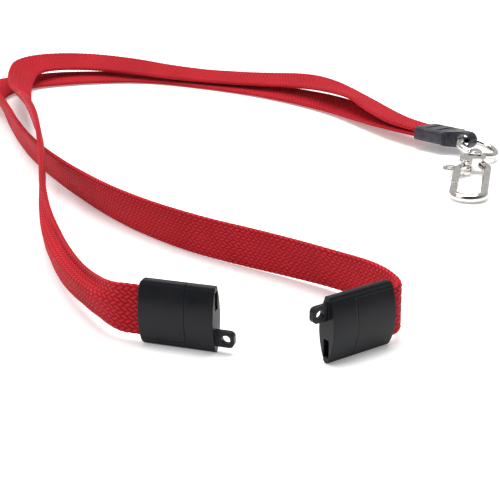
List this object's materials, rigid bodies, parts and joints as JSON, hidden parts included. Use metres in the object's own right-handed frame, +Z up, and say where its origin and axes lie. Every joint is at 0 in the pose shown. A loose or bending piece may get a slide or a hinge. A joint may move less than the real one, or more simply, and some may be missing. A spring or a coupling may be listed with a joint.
{
  "type": "lanyard",
  "caption": "Flat braided neck lanyard with a two-piece breakaway safety buckle, a metal crimp and a swivel snap hook with a sprung gate",
  "frame": {"origin": "on the table under the middle of the box round the buckle halves, crimp and hook, straps left out", "axes": "+Z up from the table, +Y from the buckle halves towards the hook, +X to the right; the lanyard lies at rest as pictured"},
  "size_m": [0.1689, 0.2541, 0.021],
  "materials": {
    "strap": "red flat tubular braid, matt with a slight sheen",
    "buckle": "black moulded plastic, fine satin grain",
    "crimp": "dark gunmetal plate, semi gloss",
    "nickel": "bright nickel plate, polished"
  },
  "bodies": {
    "strap_and_buckle": {"buckle_a_body": "buckle", "buckle_b_body": "buckle", "strap_a": "strap", "strap_b": "strap", "crimp": "crimp"},
    "lid_a": {"buckle_a_lid": "buckle"},
    "lid_b": {"buckle_b_lid": "buckle"},
    "eye": {"swivel_eye": "nickel"},
    "hook": {"hook_body": "nickel", "gate_rivet": "nickel", "gate_spring": "nickel"},
    "gate": {"gate": "nickel"}
  },
  "joints": [
    {"name": "lid_a_hinge", "type": "hinge", "parent": "strap_and_buckle", "child": "lid_a", "pos_m": [-0.03796, -0.07176, 0.0065], "axis": [0, 0, 1], "range_deg": [0, 110]},
    {"name": "lid_b_hinge", "type": "hinge", "parent": "strap_and_buckle", "child": "lid_b", "pos_m": [-0.00674, -0.07462, 0.0065], "axis": [0, 0, -1], "range_deg": [0, 110]},
    {"name": "eye_swing", "type": "hinge", "parent": "strap_and_buckle", "child": "eye", "pos_m": [0.03755, 0.06265, 0.0045], "axis": [0.7044, 0.7044, -0.0872], "range_deg": [-100, 100]},
    {"name": "hook_swivel", "type": "hinge", "parent": "eye", "child": "hook", "pos_m": [0.04017, 0.05783, 0.00336], "axis": [-0.2409, -0.9692, -0.0504], "continuous": true},
    {"name": "gate_hinge", "type": "hinge", "parent": "hook", "child": "gate", "pos_m": [0.0338, 0.0413, 0.00247], "axis": [-0.0122, -0.0489, 0.9987], "range_deg": [0, 15], "stiffness_Nm_per_rad": 0.002, "springref_deg": -17.19}
  ]
}
